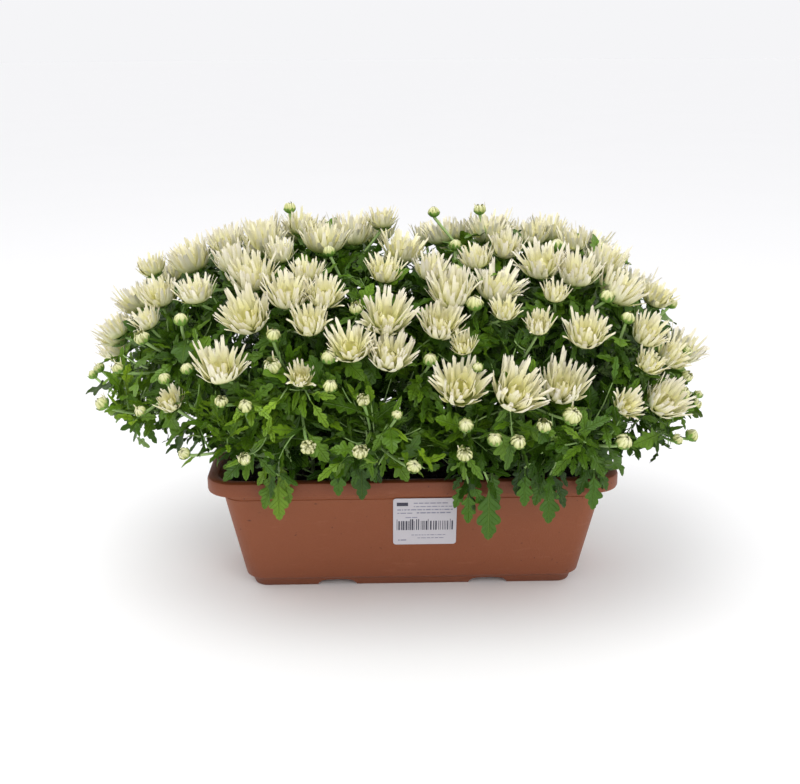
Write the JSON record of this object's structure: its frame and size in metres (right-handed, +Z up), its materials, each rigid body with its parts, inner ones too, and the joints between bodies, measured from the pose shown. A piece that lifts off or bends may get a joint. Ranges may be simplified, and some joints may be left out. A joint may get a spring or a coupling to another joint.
{
  "type": "pot chrysanthemum in a trough",
  "caption": "Bushy pot chrysanthemums with cream, half-open spoon-petalled blooms, buds and lobed leaves, growing in a rectangular plastic trough filled with soil.",
  "frame": {"origin": "middle of the underside of the trough's feet", "axes": "+Z up out of the base, +X along the trough to the right as seen from the front, the front with the label faces -Y"},
  "size_m": [0.6151, 0.3966, 0.379],
  "materials": {
    "trough": "moulded terracotta-coloured polypropylene, matte with a fine mottle and scuffs",
    "soil": "dark moist peat compost, crumbly",
    "label": null,
    "foliage": "living stems, lobed leaves, buds and cream petals, matte"
  },
  "bodies": {
    "root": {"label": "label", "left_spray_01": "foliage", "left_spray_02": "foliage", "left_spray_03": "foliage", "left_spray_04": "foliage", "left_spray_05": "foliage", "left_spray_06": "foliage", "left_spray_07": "foliage", "left_spray_08": "foliage", "left_spray_09": "foliage", "left_spray_10": "foliage", "left_spray_11": "foliage", "left_spray_12": "foliage", "left_spray_13": "foliage", "left_spray_14": "foliage", "left_spray_15": "foliage", "left_spray_16": "foliage", "left_spray_17": "foliage", "left_spray_18": "foliage", "right_spray_19": "foliage", "right_spray_20": "foliage", "right_spray_21": "foliage", "right_spray_22": "foliage", "right_spray_23": "foliage", "right_spray_24": "foliage", "right_spray_25": "foliage", "right_spray_26": "foliage", "right_spray_27": "foliage", "right_spray_28": "foliage", "right_spray_29": "foliage", "right_spray_30": "foliage", "right_spray_31": "foliage", "right_spray_32": "foliage", "right_spray_33": "foliage", "right_spray_34": "foliage", "right_spray_35": "foliage", "soil": "soil", "trough": "trough"}
  },
  "joints": []
}
